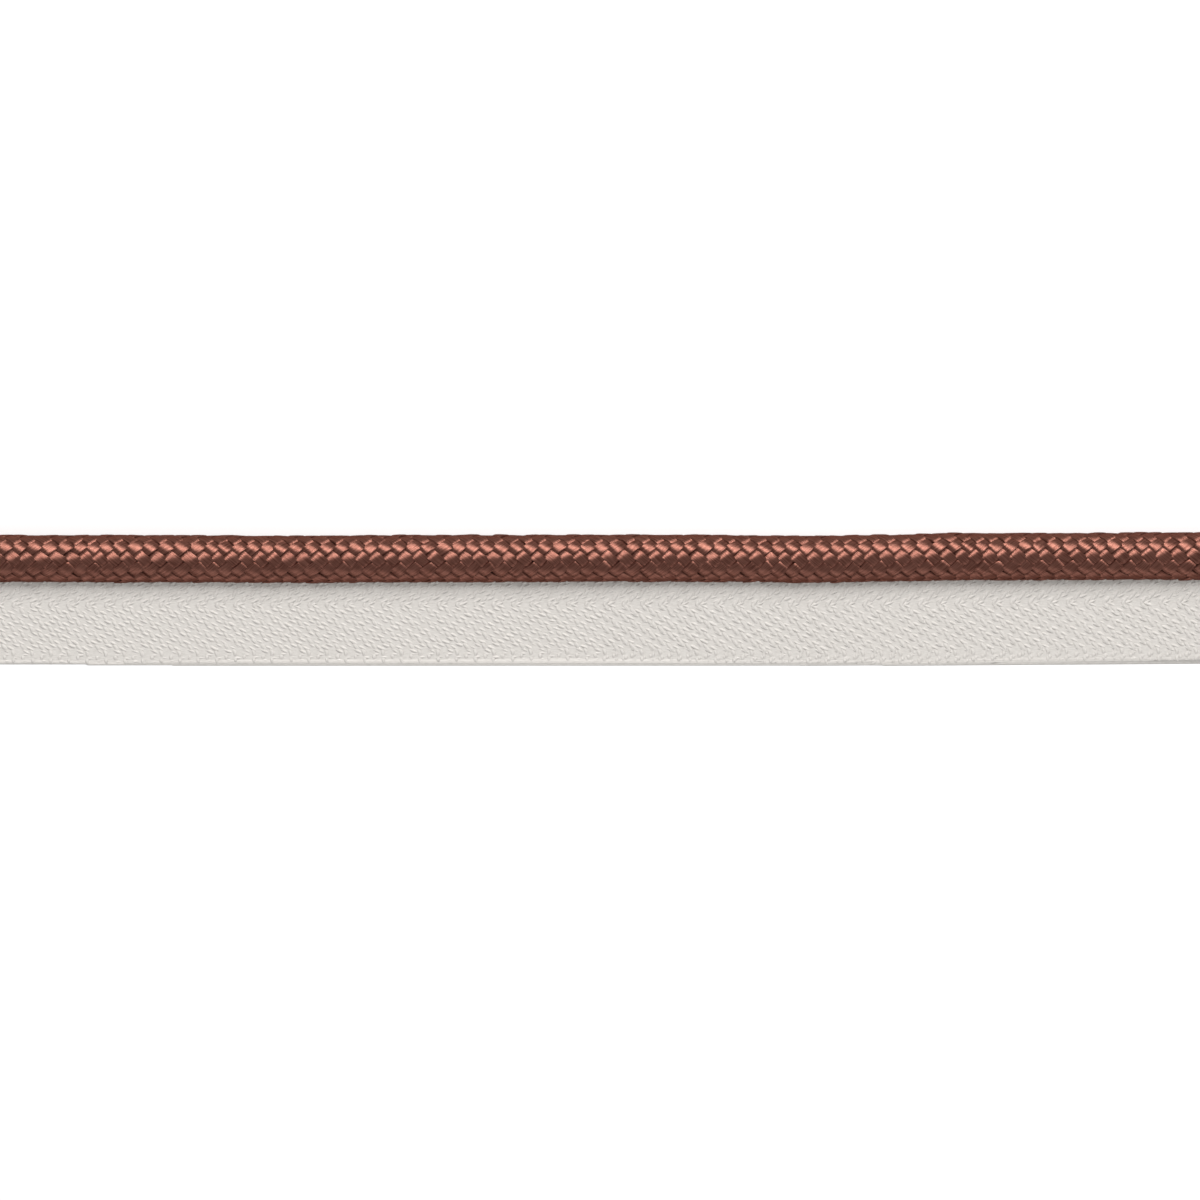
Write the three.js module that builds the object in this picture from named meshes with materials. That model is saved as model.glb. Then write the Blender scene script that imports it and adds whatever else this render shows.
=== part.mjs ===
import * as THREE from 'three';

// Piping trim: a round braided cord carried along one edge of a woven tape, a cut length laid flat.
// Millimetres, +Z up. X runs along the trim, and the cord is on the +Y side and rests on Z = 0.
// The tape leaves the cord's side at half its height and slopes down until its free edge rests too.
// The origin is the middle of the whole piece's underside.

const CUT_LENGTH = 170;
const HALF_LENGTH = CUT_LENGTH / 2;

// The cord, measured to the middle of its braid's relief.
const CORD_RADIUS = 2.95;
const CORD_AXIS_Y = 5.18;
const REST_FLATTENING = 0.12;

// The braid. Twelve strands wind each way, each over two of the others and then under two.
// So the surface is twelve columns of slanted floats, and neighbouring columns slant opposite ways.
const COLUMNS = 12;
const POINTS_PER_COLUMN = 2;
const POINTS_ROUND = COLUMNS * POINTS_PER_COLUMN;
const FLOATS_ALONG = 90;
const FLOAT_PITCH = CUT_LENGTH / FLOATS_ALONG;
const RINGS_PER_FLOAT = 2;
const FIRST_GROOVE = THREE.MathUtils.degToRad(11.5);
const STRAIGHT_END = 8;

// Height of the surface over the mean radius, at a float's crest and between two floats.
const CREST = { middle: 0.13, side: 0.02 };
const CLEFT = { middle: -0.05, side: -0.1 };
const CORD_AXIS_Z = CORD_RADIUS + CREST.middle - REST_FLATTENING;

// How far the cord's axis strays to +Y from CORD_AXIS_Y.
const CORD_BEND = [
  { along: -85, aside: 0 },
  { along: -60, aside: -0.02 },
  { along: -38, aside: -0.08 },
  { along: -20, aside: 0 },
  { along: 12, aside: 0.05 },
  { along: 28, aside: -0.1 },
  { along: 36, aside: 0.06 },
  { along: 47, aside: 0.25 },
  { along: 85, aside: 0.32 },
];

// The tape: how far its free edge lies from the cord's straight axis.
const TAPE_REACH = [
  { along: -85, reach: 13.67 },
  { along: -62, reach: 13.75 },
  { along: -40, reach: 13.6 },
  { along: -15, reach: 13.54 },
  { along: -6, reach: 13.4 },
  { along: 5, reach: 13.47 },
  { along: 22, reach: 13.7 },
  { along: 42, reach: 13.68 },
  { along: 54, reach: 13.4 },
  { along: 66, reach: 13.31 },
  { along: 85, reach: 13.36 },
];
const TAPE_THICKNESS = 1;
const TAPE_STEP = 2.5;
const CORD_TAPE_GAP = 0.3;

// The tape's top face is one plane: its height if it reached the cord's axis, and its fall per mm.
// Its underside is parallel to it as far as the line where it meets Z = 0, and flat beyond.
const TAPE_TOP_AT_AXIS = 3.39;
const TAPE_FALL = 0.191;
const TAPE_TOUCHES = (TAPE_TOP_AT_AXIS - TAPE_THICKNESS) / TAPE_FALL;

// The tape's section, once round as seen from +X: inset from an edge, and depth under the top plane.
// Near the free edge a shallow groove sets off the selvedge's ridge.
const TAPE_SECTION = [
  { edge: 'free', inset: 0.15, depth: TAPE_THICKNESS },
  { edge: 'touching', inset: 0, depth: TAPE_THICKNESS },
  { edge: 'cord', inset: 0, depth: TAPE_THICKNESS },
  { edge: 'cord', inset: 0, depth: 0 },
  { edge: 'free', inset: 1.6, depth: 0 },
  { edge: 'free', inset: 1.2, depth: 0.13 },
  { edge: 'free', inset: 0.75, depth: 0 },
  { edge: 'free', inset: 0.25, depth: 0.05 },
  { edge: 'free', inset: 0, depth: 0.4 },
];

const cordFinish = new THREE.MeshStandardMaterial({ color: 0x9a6152, roughness: 0.45, metalness: 0 });
const tapeFinish = new THREE.MeshStandardMaterial({ color: 0xd9d3cc, roughness: 0.9, metalness: 0 });

// A table's value at one place along the trim, easing from row to row.
function eased(table, column, along) {
  const last = table.length - 1;
  const next = table.findIndex((row, index) => index === last || (index > 0 && row.along >= along));
  const [from, to] = [table[next - 1], table[next]];
  const share = THREE.MathUtils.smoothstep(along, from.along, to.along);
  return THREE.MathUtils.lerp(from[column], to[column], share);
}

// A closed solid from equal rings of points: the skin between them, and a fan over each end.
// Seen from +X, each ring runs counter-clockwise.
function solidFromRings(rings) {
  const round = rings[0].length;
  const points = rings.flat();
  const faces = [];
  for (let ring = 0; ring < rings.length - 1; ring += 1) {
    for (let step = 0; step < round; step += 1) {
      const next = (step + 1) % round;
      const [a, b] = [ring * round + step, ring * round + next];
      faces.push([a, b, b + round], [a, b + round, a + round]);
    }
  }
  const centres = [rings[0], rings[rings.length - 1]].map((ring) => {
    const centre = new THREE.Vector3();
    ring.forEach((point) => centre.addScaledVector(point, 1 / round));
    return points.push(centre) - 1;
  });
  const lastRing = (rings.length - 1) * round;
  for (let step = 0; step < round; step += 1) {
    const next = (step + 1) % round;
    faces.push([centres[0], next, step], [centres[1], lastRing + step, lastRing + next]);
  }
  const geometry = new THREE.BufferGeometry().setFromPoints(points);
  geometry.setIndex(faces.flat());
  geometry.computeVertexNormals();
  return geometry;
}

// How far along the cord a ring's point leads its ring, so that the rings follow the floats' slant.
// It is a zigzag round the cord, and fades out towards the straight cut ends.
function slant(point, along) {
  const column = point / POINTS_PER_COLUMN;
  const zigzag = Math.abs(((column + 1) % 2) - 1);
  const fromEnd = HALF_LENGTH - Math.abs(along);
  return (zigzag - 0.5) * FLOAT_PITCH * THREE.MathUtils.smoothstep(fromEnd, 0, STRAIGHT_END);
}

// The braided cord: each ring runs along the floats' crests or along the clefts between them.
// Its underside is pressed flat where it rests.
function braidedCord() {
  const ringCount = FLOATS_ALONG * RINGS_PER_FLOAT;
  const rings = [];
  for (let ring = 0; ring <= ringCount; ring += 1) {
    const ringAlong = -HALF_LENGTH + (ring * CUT_LENGTH) / ringCount;
    const relief = ring % RINGS_PER_FLOAT === 0 ? CLEFT : CREST;
    const points = [];
    for (let point = 0; point < POINTS_ROUND; point += 1) {
      const angle = FIRST_GROOVE - (point * 2 * Math.PI) / POINTS_ROUND;
      const radius = CORD_RADIUS + (point % POINTS_PER_COLUMN === 0 ? relief.side : relief.middle);
      const along = ringAlong + slant(point, ringAlong);
      points.push(new THREE.Vector3(
        along,
        CORD_AXIS_Y + eased(CORD_BEND, 'aside', along) + radius * Math.sin(angle),
        Math.max(0, CORD_AXIS_Z + radius * Math.cos(angle)),
      ));
    }
    rings.push(points);
  }
  return solidFromRings(rings);
}

// The woven tape: one sheet with its selvedge ridge, its free edge as uneven as the table says.
function tapeFlange() {
  const stepCount = Math.round(CUT_LENGTH / TAPE_STEP);
  const rings = [];
  for (let step = 0; step <= stepCount; step += 1) {
    const along = -HALF_LENGTH + (step * CUT_LENGTH) / stepCount;
    const cordSide = CORD_RADIUS + CREST.middle + CORD_TAPE_GAP - eased(CORD_BEND, 'aside', along);
    const edges = { free: eased(TAPE_REACH, 'reach', along), touching: TAPE_TOUCHES, cord: cordSide };
    rings.push(TAPE_SECTION.map(({ edge, inset, depth }) => {
      const out = edges[edge] - inset;
      const height = TAPE_TOP_AT_AXIS - TAPE_FALL * out - depth;
      return new THREE.Vector3(along, CORD_AXIS_Y - out, Math.max(0, height));
    }));
  }
  return solidFromRings(rings);
}

function namedMesh(name, geometry, material) {
  const mesh = new THREE.Mesh(geometry, material);
  mesh.name = name;
  return mesh;
}

const pipingTrim = new THREE.Group();
pipingTrim.add(
  namedMesh('braided_cord', braidedCord(), cordFinish),
  namedMesh('tape_flange', tapeFlange(), tapeFinish),
);

export default pipingTrim;
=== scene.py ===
"""Piping trim on a pale table: a round braided cord with a herringbone-woven tape along its side.

Lengths are in metres. X runs along the trim, +Y is the cord's side and +Z is up.
"""

import logging
import math
from dataclasses import dataclass, field
from enum import Enum
from typing import NamedTuple

import bpy
import numpy as np
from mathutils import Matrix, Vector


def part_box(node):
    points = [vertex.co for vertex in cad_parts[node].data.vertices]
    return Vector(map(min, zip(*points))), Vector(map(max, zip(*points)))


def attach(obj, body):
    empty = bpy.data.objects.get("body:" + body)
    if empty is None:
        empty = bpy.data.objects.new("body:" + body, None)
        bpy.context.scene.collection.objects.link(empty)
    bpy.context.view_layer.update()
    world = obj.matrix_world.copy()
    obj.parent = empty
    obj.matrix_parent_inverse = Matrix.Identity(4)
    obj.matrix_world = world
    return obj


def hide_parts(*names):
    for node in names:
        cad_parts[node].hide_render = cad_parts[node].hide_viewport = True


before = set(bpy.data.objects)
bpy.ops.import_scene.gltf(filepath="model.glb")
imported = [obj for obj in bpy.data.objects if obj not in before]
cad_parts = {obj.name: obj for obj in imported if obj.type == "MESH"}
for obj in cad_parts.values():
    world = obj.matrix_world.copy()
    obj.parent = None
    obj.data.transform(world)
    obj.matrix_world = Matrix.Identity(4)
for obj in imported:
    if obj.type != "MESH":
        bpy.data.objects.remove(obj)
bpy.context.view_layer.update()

MM = 0.001
BODY = "root"
YARN_MAP = "yarn"
YARN_MAP_GAP = 7.3
SEED = 24
LOG = logging.getLogger("piping_trim")


class Stray(NamedTuple):
    """One row of the cord's bend: how far its axis lies to +Y of the straight, both in millimetres."""

    along: float
    aside: float


class Reach(NamedTuple):
    """One row of the tape's free edge: how far it lies from the straight axis, both in millimetres."""

    along: float
    out: float


CORD_BEND = (
    Stray(-85, 0),
    Stray(-60, -0.02),
    Stray(-38, -0.08),
    Stray(-20, 0),
    Stray(12, 0.05),
    Stray(28, -0.1),
    Stray(36, 0.06),
    Stray(47, 0.25),
    Stray(85, 0.32),
)

TAPE_REACH = (
    Reach(-85, 13.67),
    Reach(-62, 13.75),
    Reach(-40, 13.6),
    Reach(-15, 13.54),
    Reach(-6, 13.4),
    Reach(5, 13.47),
    Reach(22, 13.7),
    Reach(42, 13.68),
    Reach(54, 13.4),
    Reach(66, 13.31),
    Reach(85, 13.36),
)


def eased(rows: tuple, x: np.ndarray) -> np.ndarray:
    """Reads a table between its rows, easing by 3s^2 - 2s^3 of the share s of the way to the next row.

    Args:
        rows: the table, with its place along the trim in the first column, in millimetres.
        x: places along the trim, in metres.

    Returns:
        The second column's value at each place, in metres.
    """
    along, value = np.array(rows, float).T * MM
    row = np.clip(np.searchsorted(along, x) - 1, 0, len(along) - 2)
    share = np.clip((x - along[row]) / (along[row + 1] - along[row]), 0, 1)
    return value[row] + (value[row + 1] - value[row]) * share**2 * (3 - 2 * share)


def unit(vectors: np.ndarray) -> np.ndarray:
    """Scales each vector of the last axis to a length of one."""
    return vectors / np.linalg.norm(vectors, axis=-1, keepdims=True)


@dataclass(frozen=True)
class Wander:
    """A smooth unevenness: equal sines of random length and phase, added up.

    Attributes:
        size: its standard deviation.
        shortest: the shortest wave, in metres.
        longest: the longest wave, in metres.
        waves: how many sines are added.
    """

    size: float
    shortest: float
    longest: float
    waves: int = 8

    def draw(self, rng: np.random.Generator, count: int, x: np.ndarray) -> np.ndarray:
        """Draws count separate wanders over the places x: the sum of size * sqrt(2 / waves) * sine.

        Args:
            rng: the seeded source.
            count: how many to draw.
            x: places along, in metres, one row for all or one row for each.

        Returns:
            An array of count rows and a column for each place.
        """
        lengths = rng.uniform(math.log(self.shortest), math.log(self.longest), (count, self.waves, 1))
        phases = rng.uniform(0, 2 * math.pi, (count, self.waves, 1))
        places = np.broadcast_to(x, (count, x.shape[-1]))[:, None, :]
        sines = np.sin(2 * math.pi * places / np.exp(lengths) + phases)
        return self.size * math.sqrt(2 / self.waves) * sines.sum(axis=1)


@dataclass
class Threads:
    """Threads of one kind, each a closed tube along its own path.

    Attributes:
        centres: the paths, threads x stations x 3.
        ups: a direction out of the cloth at each station, of the same shape.
        section: the tube's outline as rows of (across, up), counter-clockwise, of half-size 1.
        widths: half the thread's width at each station.
        depths: half its thickness at each station.
    """

    centres: np.ndarray
    ups: np.ndarray
    section: np.ndarray
    widths: np.ndarray
    depths: np.ndarray

    def part(self, threads: slice = slice(None), stations: slice = slice(None)) -> "Threads":
        """Cuts out some of the threads, or a stretch of all of them.

        Args:
            threads: which threads to keep.
            stations: which stretch of them to keep.

        Returns:
            The threads of that part, with the same section.
        """
        kept = (threads, stations)
        return Threads(
            self.centres[kept], self.ups[kept], self.section, self.widths[kept], self.depths[kept]
        )

    def points(self) -> np.ndarray:
        """Places the rings: centre + width * across * side + depth * up * outward, no lower than Z = 0.

        Returns:
            The points, threads x stations x section points x 3.
        """
        ways = unit(np.gradient(self.centres, axis=1))
        sides = unit(np.cross(self.ups, ways))
        outward = np.cross(ways, sides)
        across = (self.widths[:, :, None] * self.section[:, 0])[..., None]
        up = (self.depths[:, :, None] * self.section[:, 1])[..., None]
        rings = self.centres[:, :, None, :] + across * sides[:, :, None, :] + up * outward[:, :, None, :]
        rings[..., 2] = np.maximum(rings[..., 2], 0)
        return rings

    def yarn_map(self) -> tuple[np.ndarray, np.ndarray]:
        """Gives the map's two scales: distance along each thread and round it, both in millimetres.

        Returns:
            Distance along, threads x stations, and distance round, section points + 1.
        """
        steps = np.linalg.norm(np.diff(self.centres, axis=1), axis=-1) / MM
        along = np.concatenate([np.zeros((len(steps), 1)), np.cumsum(steps, axis=1)], axis=1)
        outline = np.vstack([self.section, self.section[:1]])
        outline = outline * (self.widths.mean(), self.depths.mean()) / MM
        round_it = np.linalg.norm(np.diff(outline, axis=0), axis=-1)
        return along, np.concatenate([[0], np.cumsum(round_it)])

    def build(self, name: str) -> bpy.types.Object:
        """Makes the mesh: quads between neighbouring rings and one flat face over each end.

        The yarn map's u runs along a thread and its v round it, and each thread's v starts
        YARN_MAP_GAP millimetres further on, so that no two threads share their streaks.

        Args:
            name: the piece's name.

        Returns:
            The new object, smooth-shaded, with its yarn map.
        """
        rings = self.points()
        count, stations, around, _ = rings.shape
        index = np.arange(count * stations * around).reshape(count, stations, around)
        turned = np.roll(index, -1, axis=2)
        quads = np.stack([index[:, :-1], turned[:, :-1], turned[:, 1:], index[:, 1:]], axis=-1)
        along, round_it = self.yarn_map()
        offset = np.arange(count)[:, None, None, None] * YARN_MAP_GAP
        u = np.broadcast_to(along[:, :, None], (count, stations, around))
        u = np.stack([u[:, :-1], u[:, :-1], u[:, 1:], u[:, 1:]], axis=-1)
        v = np.stack([round_it[:-1], round_it[1:], round_it[1:], round_it[:-1]], axis=-1)
        v = np.broadcast_to(v, quads.shape) + offset
        caps = np.concatenate([index[:, 0, ::-1], index[:, -1]])
        cap_map = np.broadcast_to(self.section * self.widths.mean() / MM, (2 * count, around, 2))
        loops = np.concatenate([quads.reshape(-1), caps.reshape(-1)])
        uv = np.concatenate([np.stack([u, v], axis=-1).reshape(-1, 2), cap_map.reshape(-1, 2)])
        quad_count = quads.size // 4
        sizes = np.concatenate([np.full(quad_count, 4), np.full(len(caps), around)])
        smooth = np.concatenate([np.ones(quad_count, bool), np.zeros(len(caps), bool)])
        return mesh_piece(name, rings.reshape(-1, 3), loops, sizes, uv, smooth)


def mesh_piece(
    name: str,
    points: np.ndarray,
    loops: np.ndarray,
    sizes: np.ndarray,
    uv: np.ndarray,
    smooth: np.ndarray,
) -> bpy.types.Object:
    """Puts whole arrays into a new mesh object at the origin.

    Args:
        name: the piece's name.
        points: places, n x 3.
        loops: the point of each face corner.
        sizes: how many corners each face has.
        uv: the yarn map of each corner.
        smooth: whether each face is shaded smooth.

    Returns:
        The new object, linked to the scene.
    """
    mesh = bpy.data.meshes.new(name)
    mesh.vertices.add(len(points))
    mesh.vertices.foreach_set("co", points.astype(np.float32).ravel())
    mesh.loops.add(len(loops))
    mesh.loops.foreach_set("vertex_index", loops.astype(np.int32))
    mesh.polygons.add(len(sizes))
    mesh.polygons.foreach_set("loop_start", np.concatenate([[0], np.cumsum(sizes)[:-1]]).astype(np.int32))
    mesh.polygons.foreach_set("use_smooth", smooth)
    layer = mesh.uv_layers.new(name=YARN_MAP)
    layer.uv.foreach_set("vector", uv.astype(np.float32).ravel())
    mesh.update(calc_edges=True)
    mesh.validate()
    piece = bpy.data.objects.new(name, mesh)
    bpy.context.scene.collection.objects.link(piece)
    return piece


def oval(points: int, start: float = 0.0) -> np.ndarray:
    """An ellipse's outline: (cos a, sin a) at equal steps of the angle a from start."""
    angle = start + np.arange(points) * 2 * math.pi / points
    return np.stack([np.cos(angle), np.sin(angle)], axis=-1)


def flattened(wave: np.ndarray, softness: float) -> np.ndarray:
    """Flattens a wave's crests: s * sqrt(1 + k^2) / sqrt(s^2 + k^2), with k the softness."""
    return wave * math.sqrt(1 + softness**2) / np.sqrt(wave**2 + softness**2)


class Slot(Enum):
    """The record's material slots."""

    CORD = "cord_yarn"
    TAPE = "tape_yarn"


@dataclass(frozen=True)
class YarnFinish:
    """A yarn's look: two tones in streaks along each thread, raised a little by bump as fibres.

    Attributes:
        name: the material's name.
        slot: the record's slot that it belongs to.
        tone: the yarn's colour, linear.
        deep_tone: its colour in the darker streaks, linear.
        streaks: streaks per millimetre, along and round the thread.
        roughness: the shader's roughness.
        metallic: how far the shine takes the yarn's own colour.
        anisotropy: how far the shine spreads across the fibres.
        sheen: the soft glow of loose fibre ends.
        fibre_height: the fibres' bump, in metres.
        edge_tint: the shine's tint where it is seen at a grazing angle.
        across_fibres: the turn that lays the shine across the thread, as a share of a full turn.
        sheen_roughness: how soft the glow of the fibre ends is.
        streak_detail: how many finer layers of streaks there are.
        deep_end: where in the streak noise the deep tone ends.
        tone_end: where in it the full tone begins.
    """

    name: str
    slot: Slot
    tone: tuple[float, float, float]
    deep_tone: tuple[float, float, float]
    streaks: tuple[float, float]
    roughness: float
    metallic: float
    anisotropy: float
    sheen: float
    fibre_height: float
    edge_tint: tuple[float, float, float] = (1.0, 1.0, 1.0)
    across_fibres: float = 0.25
    sheen_roughness: float = 0.5
    streak_detail: float = 3.0
    deep_end: float = 0.3
    tone_end: float = 0.62

    def material(self) -> bpy.types.Material:
        """Builds the material's nodes.

        Returns:
            The new material.
        """
        material = bpy.data.materials.new(self.name)
        material.use_nodes = True
        tree = material.node_tree
        nodes, links = tree.nodes, tree.links
        shader = nodes["Principled BSDF"]
        shader.inputs["Roughness"].default_value = self.roughness
        shader.inputs["Metallic"].default_value = self.metallic
        shader.inputs["Anisotropic"].default_value = self.anisotropy
        shader.inputs["Anisotropic Rotation"].default_value = self.across_fibres
        shader.inputs["Sheen Weight"].default_value = self.sheen
        shader.inputs["Sheen Roughness"].default_value = self.sheen_roughness
        shader.inputs["Specular Tint"].default_value = (*self.edge_tint, 1)
        where = nodes.new("ShaderNodeUVMap")
        where.uv_map = YARN_MAP
        stretch = nodes.new("ShaderNodeMapping")
        stretch.inputs["Scale"].default_value = (*self.streaks, 1)
        links.new(where.outputs["UV"], stretch.inputs["Vector"])
        fibres = nodes.new("ShaderNodeTexNoise")
        fibres.inputs["Scale"].default_value = 1
        fibres.inputs["Detail"].default_value = self.streak_detail
        links.new(stretch.outputs["Vector"], fibres.inputs["Vector"])
        ramp = nodes.new("ShaderNodeValToRGB")
        ramp.color_ramp.elements[0].position = self.deep_end
        ramp.color_ramp.elements[0].color = (*self.deep_tone, 1)
        ramp.color_ramp.elements[1].position = self.tone_end
        ramp.color_ramp.elements[1].color = (*self.tone, 1)
        links.new(fibres.outputs["Fac"], ramp.inputs["Fac"])
        links.new(ramp.outputs["Color"], shader.inputs["Base Color"])
        bump = nodes.new("ShaderNodeBump")
        bump.inputs["Strength"].default_value = 1
        bump.inputs["Distance"].default_value = self.fibre_height
        links.new(fibres.outputs["Fac"], bump.inputs["Height"])
        links.new(bump.outputs["Normal"], shader.inputs["Normal"])
        tangent = nodes.new("ShaderNodeTangent")
        tangent.direction_type = "UV_MAP"
        tangent.uv_map = YARN_MAP
        links.new(tangent.outputs["Tangent"], shader.inputs["Tangent"])
        return material


CORD_YARN = YarnFinish(
    name="satin_cord_yarn",
    slot=Slot.CORD,
    tone=(0.22, 0.095, 0.071),
    deep_tone=(0.1, 0.035, 0.025),
    streaks=(0.5, 9),
    roughness=0.385,
    metallic=0.9,
    anisotropy=1.0,
    sheen=0.0,
    fibre_height=0.05 * MM,
    edge_tint=(0.35, 0.2, 0.15),
)

TAPE_YARN = YarnFinish(
    name="spun_tape_yarn",
    slot=Slot.TAPE,
    tone=(0.612, 0.583, 0.55),
    deep_tone=(0.523, 0.496, 0.464),
    streaks=(1.5, 7),
    roughness=0.9,
    metallic=0.0,
    anisotropy=0.0,
    sheen=0.15,
    fibre_height=0.04 * MM,
)


def dress(piece: bpy.types.Object, material: bpy.types.Material) -> None:
    """Gives a piece its material and the body that it rides on.

    Args:
        piece: the piece.
        material: its material.
    """
    piece.data.materials.append(material)
    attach(piece, BODY)
    LOG.info("%s: %d faces", piece.name, len(piece.data.polygons))


@dataclass
class BraidedCord:
    """The cord: strands wound both ways round it, each over two of the others and then under two.

    The braid's lattice has a column of crossings each 15 degrees round the cord and a row each half
    pitch along it. c counts columns from the first groove. A rising strand keeps c - row constant
    and a falling one c + row. A rising strand is on top for c from 0 to 2, under for 2 to 4, and so
    on, and a falling strand is the other way about.

    Attributes:
        node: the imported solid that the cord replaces.
        axis_y: where its axis lies across the trim, before the bend.
        axis_z: how high its axis lies.
        crest_radius: from the axis to the top of a float.
        strands_each_way: how many strands wind each way.
        floats_along: how many floats a column has from end to end.
        first_groove: where the first groove between two columns lies, from the top towards +Y.
        strand_width: a strand's width where it lies on top.
        strand_depth: its thickness there.
        swing: how far a strand rises and sinks from the braid's middle.
        arch: how arched a float is, from 0 for flat to about 1 for a sine.
        cleft: the depth of the cleft along a strand, as a share of half its thickness.
        cleft_width: the cleft's half-width, as a share of half the strand's width.
        roundness: how round a strand's section is, from 0 for a box to 1 for an ellipse.
        rim: where the section's points lie from its rim to beside its middle, in degrees.
        underside: where its points lie below, in degrees.
        narrowing: how much narrower a strand is in the braid's middle than on top, as a share.
        thinning: how much thinner it is there, as a share.
        steps_per_crossing: stations from one crossing to the next.
        looseness: how unevenly the strands stand out.
        drift: how unevenly they lie round the cord, in radians.
        plumpness: how unevenly thick they are, as a share.
        shift: how far the whole braid's floats stray along the cord.
        still_end: the stretch at each cut end over which that straying fades.
        inside_radius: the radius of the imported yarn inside.
        inside_stations: how many rings its body has.
        inside_points: how many points each of those rings has.
        pieces: the finished pieces.
    """

    node: str = "braided_cord"
    axis_y: float = 5.18 * MM
    axis_z: float = 2.96 * MM
    crest_radius: float = 3.1 * MM
    strands_each_way: int = 12
    floats_along: int = 90
    first_groove: float = math.radians(15)
    strand_width: float = 1.5 * MM
    strand_depth: float = 0.5 * MM
    swing: float = 0.24 * MM
    arch: float = 0.5
    cleft: float = 0.05
    cleft_width: float = 0.25
    roundness: float = 0.35
    rim: tuple[float, ...] = (0, 12, 24, 38)
    underside: tuple[float, ...] = (225, 270, 315)
    narrowing: float = 0.1
    thinning: float = 0.08
    steps_per_crossing: int = 4
    looseness: Wander = Wander(0.03 * MM, 2 * MM, 9 * MM)
    drift: Wander = Wander(math.radians(0.9), 3 * MM, 20 * MM)
    plumpness: Wander = Wander(0.07, 2 * MM, 12 * MM)
    shift: Wander = Wander(0.12 * MM, 7 * MM, 40 * MM)
    still_end: float = 4 * MM
    inside_radius: float = 2.45 * MM
    inside_stations: int = 171
    inside_points: int = 24
    pieces: list[bpy.types.Object] = field(default_factory=list)

    def __post_init__(self) -> None:
        """Works out the braid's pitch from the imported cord's length."""
        low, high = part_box(self.node)
        self.start, self.end = low[0], high[0]
        self.pitch = (self.end - self.start) / self.floats_along
        self.mean_radius = self.crest_radius - self.strand_depth / 2 - self.swing

    def stations(self) -> np.ndarray:
        """The places along the cord at which every strand has a ring."""
        return np.linspace(self.start, self.end, 2 * self.floats_along * self.steps_per_crossing + 1)

    def section(self) -> np.ndarray:
        """A strand's outline: an oval, flatter than an ellipse, with a cleft between its two yarns.

        Returns:
            Rows of (across, up): across = cos a and up = sign(sin a) * |sin a|^roundness, less
            cleft * exp(-(across / cleft width)^2) where it is higher than the cleft is deep.
        """
        rim = np.array(self.rim)
        angle = np.radians(np.concatenate([rim, [90], 180 - rim[::-1], self.underside]))
        across, sine = np.cos(angle), np.sin(angle)
        up = np.sign(sine) * np.abs(sine) ** self.roundness
        notch = self.cleft * np.exp(-((across / self.cleft_width) ** 2))
        up = up - notch * (up > self.cleft)
        return np.stack([across, up], axis=-1)

    def place(self, x: np.ndarray, angle: np.ndarray, radius: np.ndarray) -> np.ndarray:
        """Points round the bent axis: (x, axis + bend + radius * sin, axis + radius * cos)."""
        y = self.axis_y + eased(CORD_BEND, x) + radius * np.sin(angle)
        return np.stack([x, y, self.axis_z + radius * np.cos(angle)], axis=-1)

    def family(self, rising: bool, rng: np.random.Generator, uneven: np.ndarray) -> Threads:
        """Lays all the strands that wind one way.

        The angle is first groove + column * pi / strands each way + drift, and the radius is mean
        radius + swing * lift + looseness. lift runs from -1 to 1: +-sin(pi / 2 * column), flattened.

        Args:
            rising: whether the strands climb towards +Y over the cord's top as x grows.
            rng: the seeded source.
            uneven: how far each station is shifted along, the same for both families.

        Returns:
            The strands.
        """
        hand = 1 if rising else -1
        x = self.stations()
        row = (x - self.start) / (self.pitch / 2)
        count = self.strands_each_way
        column = 0.5 + 2 * np.arange(count)[:, None] + hand * row
        wave = hand * np.sin(math.pi / 2 * column)
        lift = flattened(wave, self.arch)
        loose = self.looseness.draw(rng, count, x)
        drift = self.drift.draw(rng, count, x)
        angle = self.first_groove + column * math.pi / count + drift
        radius = self.mean_radius + self.swing * lift + loose
        shifted = np.broadcast_to(x + uneven, column.shape)
        centres = self.place(shifted, angle, radius)
        ups = np.stack([np.zeros_like(angle), np.sin(angle), np.cos(angle)], axis=-1)
        plump = 1 + self.plumpness.draw(rng, count, x)
        widths = self.strand_width / 2 * (1 - self.narrowing + self.narrowing * lift) * plump
        depths = self.strand_depth / 2 * (1 - self.thinning + self.thinning * lift) * plump
        return Threads(centres, ups, self.section(), widths, depths)

    def inside(self) -> Threads:
        """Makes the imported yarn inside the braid, one round body that shows only at the cut ends.

        Returns:
            The body as a single thread along the cord's axis.
        """
        x = np.linspace(self.start, self.end, self.inside_stations)
        zero = np.zeros((1, len(x)))
        centres = self.place(x[None], zero, zero)
        ups = np.broadcast_to((0.0, 0.0, 1.0), centres.shape)
        radius = np.full((1, len(x)), self.inside_radius)
        return Threads(centres, ups, oval(self.inside_points), radius, radius)

    def build(self, rng: np.random.Generator) -> list[bpy.types.Object]:
        """Builds and dresses the cord, each way's strands as two pieces.

        Args:
            rng: the seeded source.

        Returns:
            The cord's pieces.
        """
        yarn = CORD_YARN.material()
        x = self.stations()
        fade = np.clip(np.minimum(x - self.start, self.end - x) / self.still_end, 0, 1)
        uneven = self.shift.draw(rng, 1, x)[0] * fade
        for way, rising in (("rising", True), ("falling", False)):
            strands = self.family(rising, rng, uneven)
            half = self.strands_each_way // 2
            for number, kept in ((1, slice(0, half)), (2, slice(half, None))):
                self.pieces.append(strands.part(threads=kept).build(f"{way}_strands_{number}"))
        self.pieces.append(self.inside().build("cord_inside"))
        for piece in self.pieces:
            dress(piece, yarn)
            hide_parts(self.node)
        return self.pieces


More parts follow.
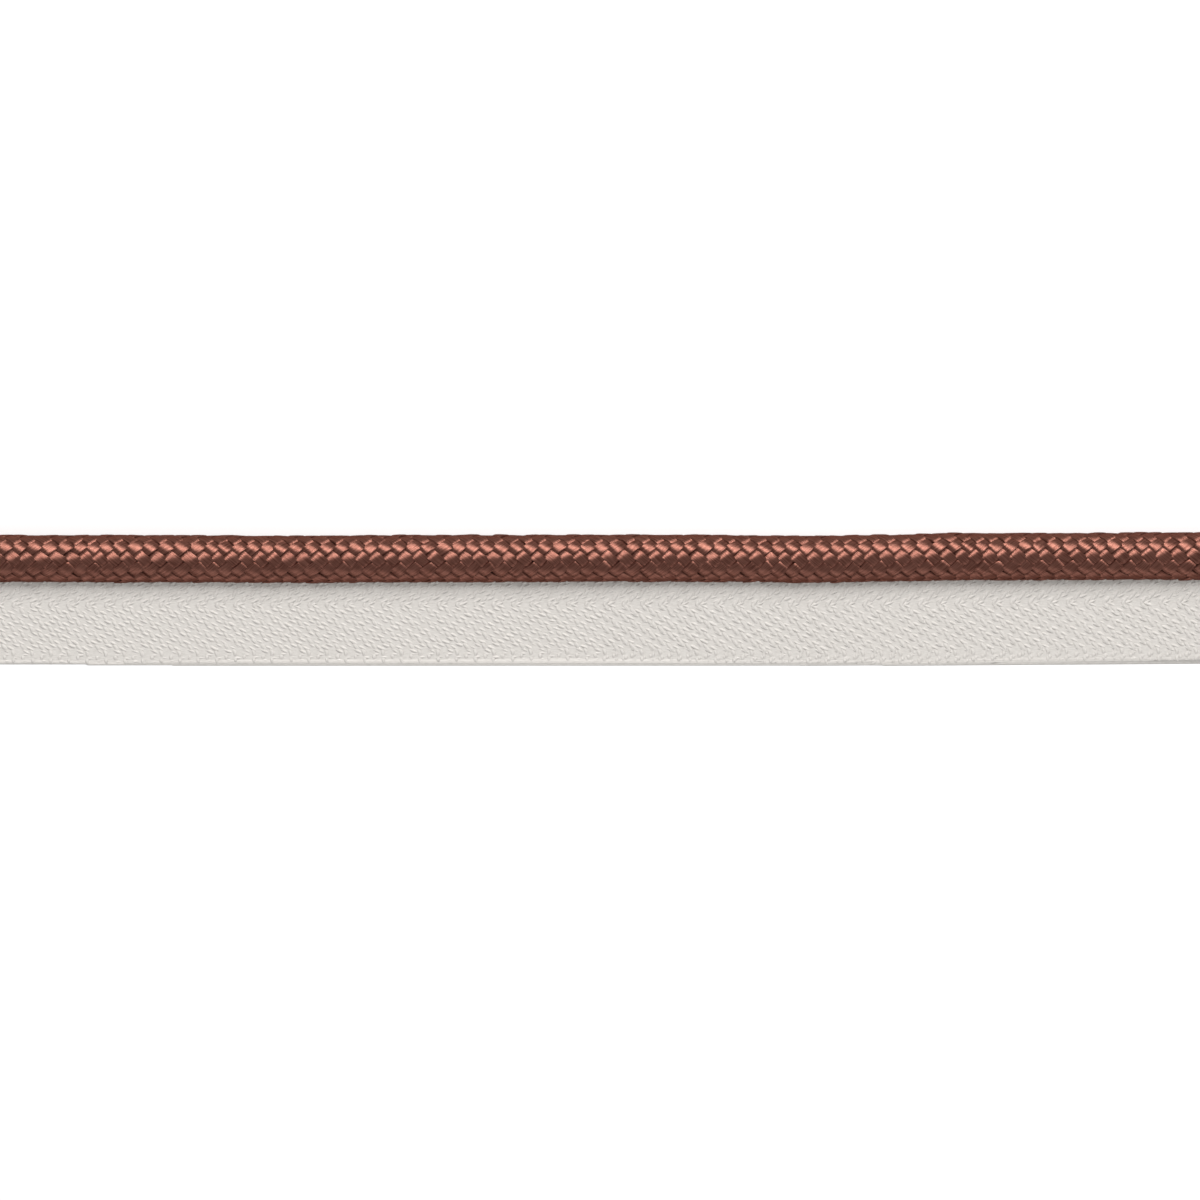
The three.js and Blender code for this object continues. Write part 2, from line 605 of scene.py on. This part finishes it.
@dataclass
class WovenTape:
    """The tape: warp ends along the trim and one weft yarn to and fro, in a herringbone twill.

    Ends are counted from the free edge inwards, picks along the trim. In the field an end goes over
    two picks and under two, one pick later than its neighbour, and past the turning line one pick
    earlier. In the selvedge neighbours take turns. The middle of the cloth falls straight from the
    cord's side to the table.

    Attributes:
        node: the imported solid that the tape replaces.
        axis_y: where the cord's axis lies across the trim, before the bend.
        mean_reach: from that axis out to the free edge, on average.
        root_out: from the axis out to the tape's other edge, hidden in the braid.
        root_level: how high the cloth's middle is at that edge.
        free_level: how high it is at the free edge.
        pick_pitch: from one pick to the next, fitted to the length.
        end_pitch: from one end to the next in the field.
        selvedge_ends: how many ends the selvedge has.
        first_inset: how far the outermost end lies in from the free edge.
        selvedge_pitch: from one end to the next in the selvedge.
        selvedge_gap: the extra gap between the selvedge and the field.
        selvedge_weft_share: how far the weft outdoes the warp on the selvedge's face.
        loop_reach: how far the weft's loops stand out past their turning places.
        loop_thickness: a loop's thickness, as a share of the weft's.
        loop_unevenness: how unevenly far the loops stand out, as a share.
        field_ends: how many ends the field has.
        ends_to_turning: how many of them lie before the herringbone's turning line.
        warp_width: a warp end's width.
        warp_depth: its thickness.
        weft_width: the weft's width.
        weft_depth: its thickness.
        warp_swing: how far the warp rises and sinks from the cloth's middle.
        weft_swing: how far the weft does.
        float_softness: how soft a float's ends are, more for a rounder wave.
        weft_share: the same in the field, from 0 where they are equal to 1 for weft alone.
        warp_lean: how far an end is pushed aside as it crosses, as a share of the end pitch.
        weft_lean: how far a pick is, as a share of the pick pitch.
        warp_sway: how unevenly far in the ends lie.
        warp_heave: how unevenly high they lie.
        warp_plumpness: how unevenly thick they are, as a share.
        pick_jitter: how unevenly the picks are beaten up.
        pick_sway: how unevenly each of them runs across.
        weft_plumpness: how unevenly thick the weft is, as a share.
        weft_step: about how far apart the weft's stations are.
        turn: the weft's stations in a loop's quarter circle, in degrees.
        warp_sides: how many sides a warp end's section has.
        weft_sides: how many the weft's has.
        steps_per_pick: the warp's stations from one pick to the next.
        body_thickness: the thickness of the thin sheet in the weave's middle.
        body_rows: how many rows of points that sheet has along the trim.
        body_columns: how many it has across the trim.
        pieces: the finished threads.
    """

    node: str = "tape_flange"
    axis_y: float = 5.18 * MM
    mean_reach: float = 13.55 * MM
    root_out: float = 2.2 * MM
    root_level: float = 3.3 * MM
    free_level: float = 0.0
    pick_pitch: float = 0.6 * MM
    end_pitch: float = 0.383 * MM
    selvedge_ends: int = 3
    first_inset: float = 0.36 * MM
    selvedge_pitch: float = 0.4 * MM
    selvedge_gap: float = 0.08 * MM
    selvedge_weft_share: float = 0.45
    loop_reach: float = 0.21 * MM
    loop_thickness: float = 0.9
    loop_unevenness: float = 0.45
    field_ends: int = 26
    ends_to_turning: int = 16
    warp_width: float = 0.42 * MM
    warp_depth: float = 0.2 * MM
    weft_width: float = 0.5 * MM
    weft_depth: float = 0.26 * MM
    warp_swing: float = 0.08 * MM
    weft_swing: float = 0.09 * MM
    float_softness: float = 1.5
    weft_share: float = 0.08
    warp_lean: float = 0.55
    weft_lean: float = 0.3
    warp_sway: Wander = Wander(0.03 * MM, 1.5 * MM, 8 * MM)
    warp_heave: Wander = Wander(0.012 * MM, 1.5 * MM, 6 * MM)
    warp_plumpness: Wander = Wander(0.08, 2 * MM, 12 * MM)
    pick_jitter: float = 0.035 * MM
    pick_sway: Wander = Wander(0.035 * MM, 1.5 * MM, 6 * MM)
    weft_plumpness: Wander = Wander(0.07, 3 * MM, 60 * MM)
    weft_step: float = 0.2 * MM
    turn: tuple[float, ...] = (30.0, 60.0, 85.0)
    warp_sides: int = 5
    weft_sides: int = 6
    steps_per_pick: int = 3
    body_thickness: float = 0.2 * MM
    body_rows: int = 171
    body_columns: int = 15
    pieces: list[bpy.types.Object] = field(default_factory=list)

    def __post_init__(self) -> None:
        """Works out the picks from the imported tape's length, each end's place, and the slope."""
        low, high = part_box(self.node)
        self.start, self.end = low[0], high[0]
        self.picks = int((self.end - self.start) / self.pick_pitch)
        self.pick_pitch = (self.end - self.start) / self.picks
        selvedge = self.first_inset + np.arange(self.selvedge_ends) * self.selvedge_pitch
        inner = selvedge[-1] + self.selvedge_gap + self.end_pitch * (1 + np.arange(self.field_ends))
        self.insets = np.concatenate([selvedge, inner])
        self.ends = len(self.insets)
        self.width = self.mean_reach - self.root_out
        self.fall = (self.root_level - self.free_level) / self.width
        self.up = unit(np.array([0, -self.fall, 1]))

    def place(self, x: np.ndarray, inset: np.ndarray, height: np.ndarray) -> np.ndarray:
        """Places points of the cloth.

        The distance out from the axis is the free edge's less the inset, stretched so that the tape's
        other edge follows the cord's bend. The middle's height is the free level + fall * inset.

        Args:
            x: places along the trim.
            inset: distance in from the free edge.
            height: distance above the cloth's middle.

        Returns:
            The points, with one more axis of three.
        """
        free = eased(TAPE_REACH, x)
        root = self.root_out - eased(CORD_BEND, x)
        out = free - inset * (free - root) / self.width
        middle = self.free_level + self.fall * inset
        spine = np.stack(np.broadcast_arrays(x, self.axis_y - out, middle), axis=-1)
        return spine + height[..., None] * self.up

    def phase(self, pick: np.ndarray, end: np.ndarray) -> np.ndarray:
        """The weave's phase where a pick crosses an end: a quarter turn for each step of either.

        In the field it is pi / 2 * (pick + 1/2 - n), where n counts ends up to the turning line and
        down again past it. In the selvedge it is pi / 2 * (pick + 1/2 + 2 * end): a rib of two picks.

        Args:
            pick: places along the trim, counted in picks.
            end: places across it, counted in ends from the free edge.

        Returns:
            The phase in radians.
        """
        field_end = end - self.selvedge_ends
        mirrored = 2 * self.ends_to_turning - 1 - field_end
        twill = pick + 0.5 - np.minimum(field_end, mirrored)
        rib = pick + 0.5 + 2 * end
        return math.pi / 2 * np.where(self.in_selvedge(end), rib, twill)

    def in_selvedge(self, end: np.ndarray) -> np.ndarray:
        """Whether a place across the tape is nearer to the selvedge's ends than to the field's."""
        return end < self.selvedge_ends - 0.5

    def interlace(self, pick: np.ndarray, end: np.ndarray) -> np.ndarray:
        """How high the warp stands over the weft: sin(phase) - the weft's share, flattened.

        Args:
            pick: places along the trim, counted in picks.
            end: places across it, counted in ends from the free edge.

        Returns:
            Heights from -1 to 1.
        """
        share = np.where(self.in_selvedge(end), self.selvedge_weft_share, self.weft_share)
        wave = np.sin(self.phase(pick, end)) - share
        return np.clip(flattened(wave, self.float_softness), -1, 1)

    def lean(self, pick: np.ndarray, end: np.ndarray) -> np.ndarray:
        """How far a thread is pushed aside as it crosses, from -1 to 1: cos(phase), none in the rib."""
        return np.cos(self.phase(pick, end)) * (end > self.selvedge_ends - 0.5)

    def warp(self, rng: np.random.Generator) -> Threads:
        """Lays the ends along the trim, each waving over and under the picks.

        An end leans to one side where it comes up and to the other where it goes down, so that its
        floats slant, and past the turning line they slant the other way.

        Args:
            rng: the seeded source.

        Returns:
            The ends, from the free edge inwards.
        """
        stations = self.picks * self.steps_per_pick + 1
        x = np.linspace(self.start, self.end, stations)
        pick = (x - self.start) / self.pick_pitch - 0.5
        end = np.arange(self.ends)[:, None]
        lift = self.interlace(pick, end)
        sway = self.warp_sway.draw(rng, self.ends, x)
        height = self.warp_swing * lift + self.warp_heave.draw(rng, self.ends, x)
        places = np.broadcast_to(x, lift.shape)
        side = np.where(end - self.selvedge_ends < self.ends_to_turning - 0.5, 1, -1)
        aside = self.warp_lean * self.end_pitch * self.lean(pick, end) * side
        centres = self.place(places, self.insets[:, None] + sway + aside, height)
        ups = np.broadcast_to(self.up, centres.shape)
        plump = 1 + self.warp_plumpness.draw(rng, self.ends, x)
        widths = self.warp_width / 2 * plump
        depths = self.warp_depth / 2 * plump
        return Threads(centres, ups, oval(self.warp_sides, math.pi / 2), widths, depths)

    def weft(self, rng: np.random.Generator) -> Threads:
        """Lays the weft to and fro as one yarn, turning round the outermost end at each edge.

        A pick runs from the cord's side to the free edge, or back if its number is odd. At both of
        its ends it turns by a quarter circle, half way to the pick before and to the pick after. A
        loop stands out by loop reach * sin(turn), unevenly, and is pressed flatter than the pick.

        Args:
            rng: the seeded source.

        Returns:
            One long thread.
        """
        steps = 2 * self.ends - 1
        end = np.linspace(self.ends - 1, 0, steps)
        inset = np.interp(end, np.arange(self.ends), self.insets)
        turn = np.radians(self.turn)
        inset, end = (np.pad(a, len(turn), mode="edge") for a in (inset, end))
        bulge = np.concatenate([np.sin(turn)[::-1], np.zeros(steps), -np.sin(turn)])
        step = np.concatenate([(np.cos(turn) - 1)[::-1], np.zeros(steps), 1 - np.cos(turn)]) / 2
        flat = np.concatenate([np.cos(turn)[::-1], np.ones(steps), np.cos(turn)])
        pick = np.arange(self.picks)[:, None]
        jitter = rng.normal(0, self.pick_jitter, (self.picks, 1))
        sway = self.pick_sway.draw(rng, self.picks, inset[None])
        x = self.start + (pick + 0.5 + step) * self.pick_pitch + (jitter + sway) * flat
        back = pick % 2 == 1
        mirror = self.start + 2 * (pick + 0.5) * self.pick_pitch - x
        inset, end, bulge = (np.where(back, a[::-1], a) for a in (inset, end, bulge))
        loops = 1 + rng.normal(0, self.loop_unevenness, self.picks // 2 + 1)
        inset = inset + bulge * self.loop_reach * loops[pick // 2]
        lift = -self.interlace(pick, end) * flat
        aside = self.weft_lean * self.pick_pitch * self.lean(pick, end) * flat
        x = np.where(back, mirror[:, ::-1], x) + aside
        x, inset, lift = (np.reshape(a, (1, -1)) for a in (x, inset, lift))
        x = np.clip(x, self.start, self.end)
        centres = self.place(x, inset, self.weft_swing * lift)
        ups = np.broadcast_to(self.up, centres.shape)
        plump = 1 + self.weft_plumpness.draw(rng, 1, np.arange(x.shape[1])[None] * self.weft_step)
        widths = self.weft_width / 2 * plump
        pressed = self.loop_thickness + (1 - self.loop_thickness) * np.tile(flat, self.picks)
        depths = self.weft_depth / 2 * plump * pressed
        return Threads(centres, ups, oval(self.weft_sides), widths, depths)

    def body(self) -> bpy.types.Object:
        """Makes the thin sheet of packed yarn in the middle of the weave, closed all round.

        Returns:
            The sheet.
        """
        rows, columns, thick = self.body_rows, self.body_columns, self.body_thickness / 2
        x = np.linspace(self.start, self.end, rows)[:, None] * np.ones(columns)
        inset = np.linspace(self.insets[0], self.insets[-1], columns) * np.ones((rows, 1))
        top = self.place(x, inset, np.full(x.shape, thick))
        under = self.place(x, inset, np.full(x.shape, -thick))
        section = np.concatenate([top, under[:, ::-1]], axis=1)
        around = section.shape[1]
        index = np.arange(rows * around).reshape(rows, around)
        turned = np.roll(index, -1, axis=1)
        quads = np.stack([index[:-1], turned[:-1], turned[1:], index[1:]], axis=-1).reshape(-1, 4)
        ends = []
        for ring, flip in ((index[0], True), (index[-1], False)):
            upper, lower = ring[:columns], ring[columns:][::-1]
            cap = np.stack([upper[:-1], lower[:-1], lower[1:], upper[1:]], axis=-1)
            ends.append(cap if flip else cap[:, ::-1])
        faces = np.concatenate([quads, *ends])
        points = section.reshape(-1, 3)
        uv = points[faces.ravel()][:, :2] / MM
        sizes = np.full(len(faces), 4)
        return mesh_piece("tape_body", points, faces.ravel(), sizes, uv, np.zeros(len(faces), bool))

    def build(self, rng: np.random.Generator) -> list[bpy.types.Object]:
        """Builds and dresses the tape, with its sheet. Warp and weft are two pieces each.

        Args:
            rng: the seeded source.

        Returns:
            The tape's pieces.
        """
        yarn = TAPE_YARN.material()
        warp = self.warp(rng)
        half = self.ends // 2
        for name, kept in (("outer_warp", slice(0, half)), ("inner_warp", slice(half, None))):
            self.pieces.append(warp.part(threads=kept).build(name))
        weft = self.weft(rng)
        middle = weft.centres.shape[1] // 2
        for name, kept in (("left_weft", slice(0, middle + 1)), ("right_weft", slice(middle, None))):
            self.pieces.append(weft.part(stations=kept).build(name))
        sheet = self.body()
        for piece in (*self.pieces, sheet):
            dress(piece, yarn)
            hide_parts(self.node)
        return [*self.pieces, sheet]


@dataclass(frozen=True)
class Tabletop:
    """The pale surface that the trim lies on.

    Attributes:
        size: its side.
        level: its height, a hair under the trim.
        tone: its colour, linear.
        roughness: the shader's roughness.
    """

    size: float = 6.0
    level: float = -0.01 * MM
    tone: tuple[float, float, float] = (0.8, 0.8, 0.8)
    roughness: float = 0.9

    def build(self) -> bpy.types.Object:
        """Makes the floor as one flat face.

        Returns:
            The floor.
        """
        half = self.size / 2
        mesh = bpy.data.meshes.new("tabletop")
        square = ((-half, -half), (half, -half), (half, half), (-half, half))
        mesh.from_pydata([(x, y, self.level) for x, y in square], [], [(0, 1, 2, 3)])
        floor = bpy.data.objects.new("tabletop", mesh)
        bpy.context.scene.collection.objects.link(floor)
        material = bpy.data.materials.new("pale_table")
        material.use_nodes = True
        shader = material.node_tree.nodes["Principled BSDF"]
        shader.inputs["Base Color"].default_value = (*self.tone, 1)
        shader.inputs["Roughness"].default_value = self.roughness
        mesh.materials.append(material)
        return floor


@dataclass(frozen=True)
class SoftLight:
    """One square soft light that faces the trim.

    Attributes:
        name: the light's name.
        azimuth: the side that it stands on, in degrees from +Y towards +X.
        off_vertical: how far it leans from straight above, in degrees.
        distance: how far it is from the trim.
        size: its side.
        power: its power in watts.
    """

    name: str
    azimuth: float
    off_vertical: float
    distance: float
    size: float
    power: float

    def build(self) -> bpy.types.Object:
        """Makes the light.

        Returns:
            The new light.
        """
        lamp = bpy.data.lights.new(self.name, "AREA")
        lamp.shape = "SQUARE"
        lamp.size = self.size
        lamp.energy = self.power
        light = bpy.data.objects.new(self.name, lamp)
        bpy.context.scene.collection.objects.link(light)
        lean, side = math.radians(self.off_vertical), math.radians(self.azimuth)
        light.location = (
            self.distance * math.sin(lean) * math.sin(side),
            self.distance * math.sin(lean) * math.cos(side),
            self.distance * math.cos(lean),
        )
        light.rotation_euler = light.location.to_track_quat("Z", "Y").to_euler()
        return light


@dataclass(frozen=True)
class Studio:
    """Soft studio light: a key from beyond the cord, a weaker low light from the tape's side.

    Attributes:
        lights: the lights.
        surround: the strength of the pale world round them.
    """

    lights: tuple[SoftLight, ...] = (
        SoftLight("key", azimuth=6, off_vertical=41, distance=1.0, size=0.45, power=12.0),
        SoftLight("fill", azimuth=180, off_vertical=88, distance=1.2, size=0.6, power=4.0),
    )
    surround: float = 0.55

    def build(self) -> None:
        """Makes the lights and the world."""
        for light in self.lights:
            light.build()
        world = bpy.data.worlds.new("surround")
        world.use_nodes = True
        background = world.node_tree.nodes["Background"]
        background.inputs["Color"].default_value = (1, 1, 1, 1)
        background.inputs["Strength"].default_value = self.surround
        bpy.context.scene.world = world
        bpy.context.scene.view_settings.view_transform = "Standard"


@dataclass(frozen=True)
class PhotoCamera:
    """The camera straight above the trim, with a long lens as flat as the photo's view.

    Attributes:
        frame_width: what the picture spans at the trim.
        distance: how far the camera is above the level where it spans that.
        centre_y: the place across the trim at the picture's centre.
        level: that level, half-way up the cord.
        sensor: the sensor's width in millimetres.
        nearest: where the camera starts to see.
        farthest: where it stops.
    """

    frame_width: float = 155.8 * MM
    distance: float = 1.2
    centre_y: float = -0.2 * MM
    level: float = 3 * MM
    sensor: float = 36.0
    nearest: float = 0.1
    farthest: float = 20.0

    def build(self) -> bpy.types.Object:
        """Makes the camera and sets it as the scene's: lens = sensor * distance / frame width.

        Returns:
            The camera.
        """
        lens = bpy.data.cameras.new("photo_camera")
        lens.sensor_width = self.sensor
        lens.lens = self.sensor * self.distance / self.frame_width
        lens.clip_start, lens.clip_end = self.nearest, self.farthest
        camera = bpy.data.objects.new("photo_camera", lens)
        camera.location = (0, self.centre_y, self.level + self.distance)
        bpy.context.scene.collection.objects.link(camera)
        bpy.context.scene.camera = camera
        return camera


def main() -> None:
    """Builds the camera, the table, the cord, the tape and the light, in that order."""
    logging.basicConfig(level=logging.INFO, format="%(name)s %(message)s")
    rng = np.random.default_rng(SEED)
    PhotoCamera().build()
    Tabletop().build()
    cord = BraidedCord().build(rng)
    tape = WovenTape().build(rng)
    Studio().build()
    LOG.info("%d cord pieces and %d tape pieces", len(cord), len(tape))


if __name__ == "__main__":
    main()
